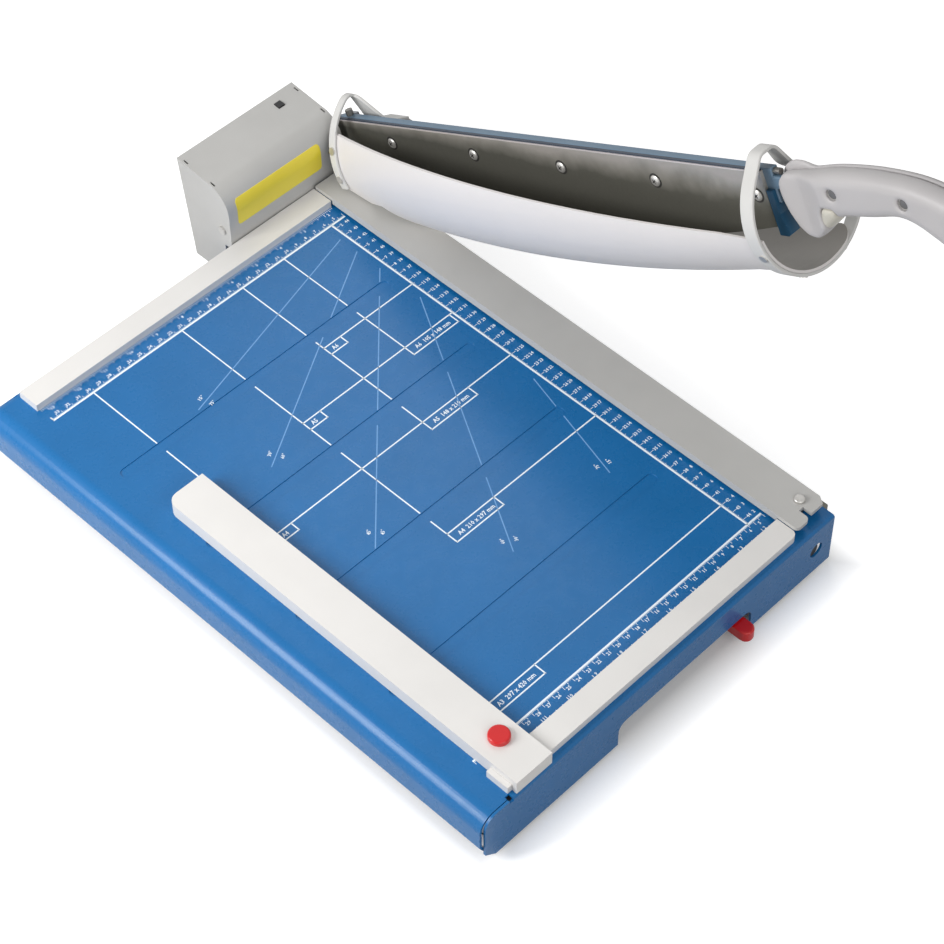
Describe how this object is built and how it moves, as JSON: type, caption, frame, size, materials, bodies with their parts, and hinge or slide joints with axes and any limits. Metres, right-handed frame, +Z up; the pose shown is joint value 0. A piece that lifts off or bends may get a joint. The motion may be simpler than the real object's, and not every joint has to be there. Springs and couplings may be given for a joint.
{
  "type": "lever paper trimmer",
  "caption": "Desk lever trimmer: blue folded table, grey clamp plate, sliding side guide, long blade arm with handle and a swinging curved guard, laser line box.",
  "frame": {"origin": "middle of the whole machine's footprint in the rest pose, on the desk under the rubber feet", "axes": "+X to the blade's side, across the cut; +Y from the handle's end to the pivot; +Z up"},
  "size_m": [0.427, 0.6572, 0.3966],
  "materials": {
    "blue_paint": "semi-gloss",
    "grey_paint": "satin",
    "slate_paint": "satin",
    "guard_grey": "satin",
    "ring_grey": "satin",
    "silver_aluminium": "fine matt",
    "blade_steel": "ground",
    "bare_steel": "brushed",
    "zinc_plate": "zinc plated",
    "screw_steel": "bright",
    "battery_steel": "glossy sleeve",
    "foot_rubber": "matt",
    "red_plastic": "glossy",
    "blue_plastic": "glossy",
    "black_plastic": "matt",
    "grey_plastic": "satin",
    "beige_plastic": "satin",
    "yellow_label": "satin",
    "lens_glass": "clear",
    "brass": "turned"
  },
  "bodies": {
    "base": {"base_table": "blue_paint", "foot_brackets": "zinc_plate", "rubber_feet": "foot_rubber", "foot_screws": "screw_steel", "blade_rail": "bare_steel", "lower_blade": "blade_steel", "lower_blade_screws": "screw_steel", "back_stop_bar": "silver_aluminium", "front_stop_bar": "silver_aluminium", "stop_bar_screws": "screw_steel", "lever_boss": "bare_steel", "lever_pivot_screw": "screw_steel", "laser_cover": "grey_paint", "laser_left_panel": "grey_paint", "laser_right_panel": "grey_paint", "laser_chassis": "zinc_plate", "laser_panel_screw": "screw_steel", "laser_module": "brass", "laser_lens": "lens_glass", "battery_holder": "black_plastic", "batteries": "battery_steel", "label_plate": "yellow_label", "pivot_bracket": "grey_paint", "pivot_bracket_screws": "screw_steel", "pivot_bolt": "screw_steel", "pivot_washers": "bare_steel", "pivot_nut": "screw_steel"},
    "clamp": {"clamp_plate": "grey_paint", "clamp_posts": "bare_steel", "clamp_screws": "screw_steel", "clamp_lift_bar": "bare_steel", "clamp_ramp": "bare_steel"},
    "clamp_lever": {"lever_arm": "zinc_plate", "lever_grip": "red_plastic"},
    "side_guide": {"side_guide": "silver_aluminium", "guide_clamp_block": "black_plastic"},
    "guide_knob": {"guide_knob": "red_plastic", "guide_knob_stud": "screw_steel"},
    "laser_button": {"laser_button": "black_plastic"},
    "arm": {"arm_bar": "slate_paint", "arm_bush": "brass", "upper_blade": "blade_steel", "blade_screws": "screw_steel", "blade_end_guide": "blue_plastic", "arm_end_pin": "bare_steel", "arm_rear_pin": "bare_steel", "guard_pivot_brackets": "zinc_plate", "guard_pivot_pins": "screw_steel", "handle_left": "grey_plastic", "handle_right": "grey_plastic", "handle_tip": "beige_plastic", "handle_screws": "screw_steel"},
    "guard": {"guard_shell": "guard_grey", "front_ring": "ring_grey", "rear_ring": "ring_grey", "ring_screws": "screw_steel"}
  },
  "joints": [
    {"name": "arm_hinge", "type": "hinge", "parent": "base", "child": "arm", "pos_m": [0.1535, 0.30161, 0.063], "axis": [1, 0, 0], "range_deg": [0, 27.9]},
    {"name": "guard_swing", "type": "hinge", "parent": "arm", "child": "guard", "pos_m": [0.1835, 0.04971, 0.18563], "axis": [0, 0.8838, -0.4679], "range_deg": [0, 150.66]},
    {"name": "clamp_lift", "type": "slide", "parent": "base", "child": "clamp", "axis": [0, 0, 1], "range_m": [-0.003, 0]},
    {"name": "clamp_lever_hinge", "type": "hinge", "parent": "base", "child": "clamp_lever", "pos_m": [0.0465, -0.12839, 0.02], "axis": [0, 0, 1], "range_deg": [-40, 0]},
    {"name": "guide_slide", "type": "slide", "parent": "base", "child": "side_guide", "axis": [1, 0, 0], "range_m": [0, 0.24]},
    {"name": "guide_knob_turn", "type": "hinge", "parent": "side_guide", "child": "guide_knob", "pos_m": [-0.1615, -0.19839, 0.067], "axis": [0, 0, 1], "range_deg": [-180, 0]},
    {"name": "laser_button_press", "type": "slide", "parent": "base", "child": "laser_button", "axis": [0, 0, -1], "range_m": [0, 0.0015], "stiffness_N_per_m": 600, "springref_m": -0.0005}
  ],
  "couplings": [
    {"joint": "guard_swing", "follows": "arm_hinge", "ratio": 5.4},
    {"joint": "clamp_lift", "follows": "clamp_lever_hinge", "m_per_rad": 0.0042972}
  ]
}
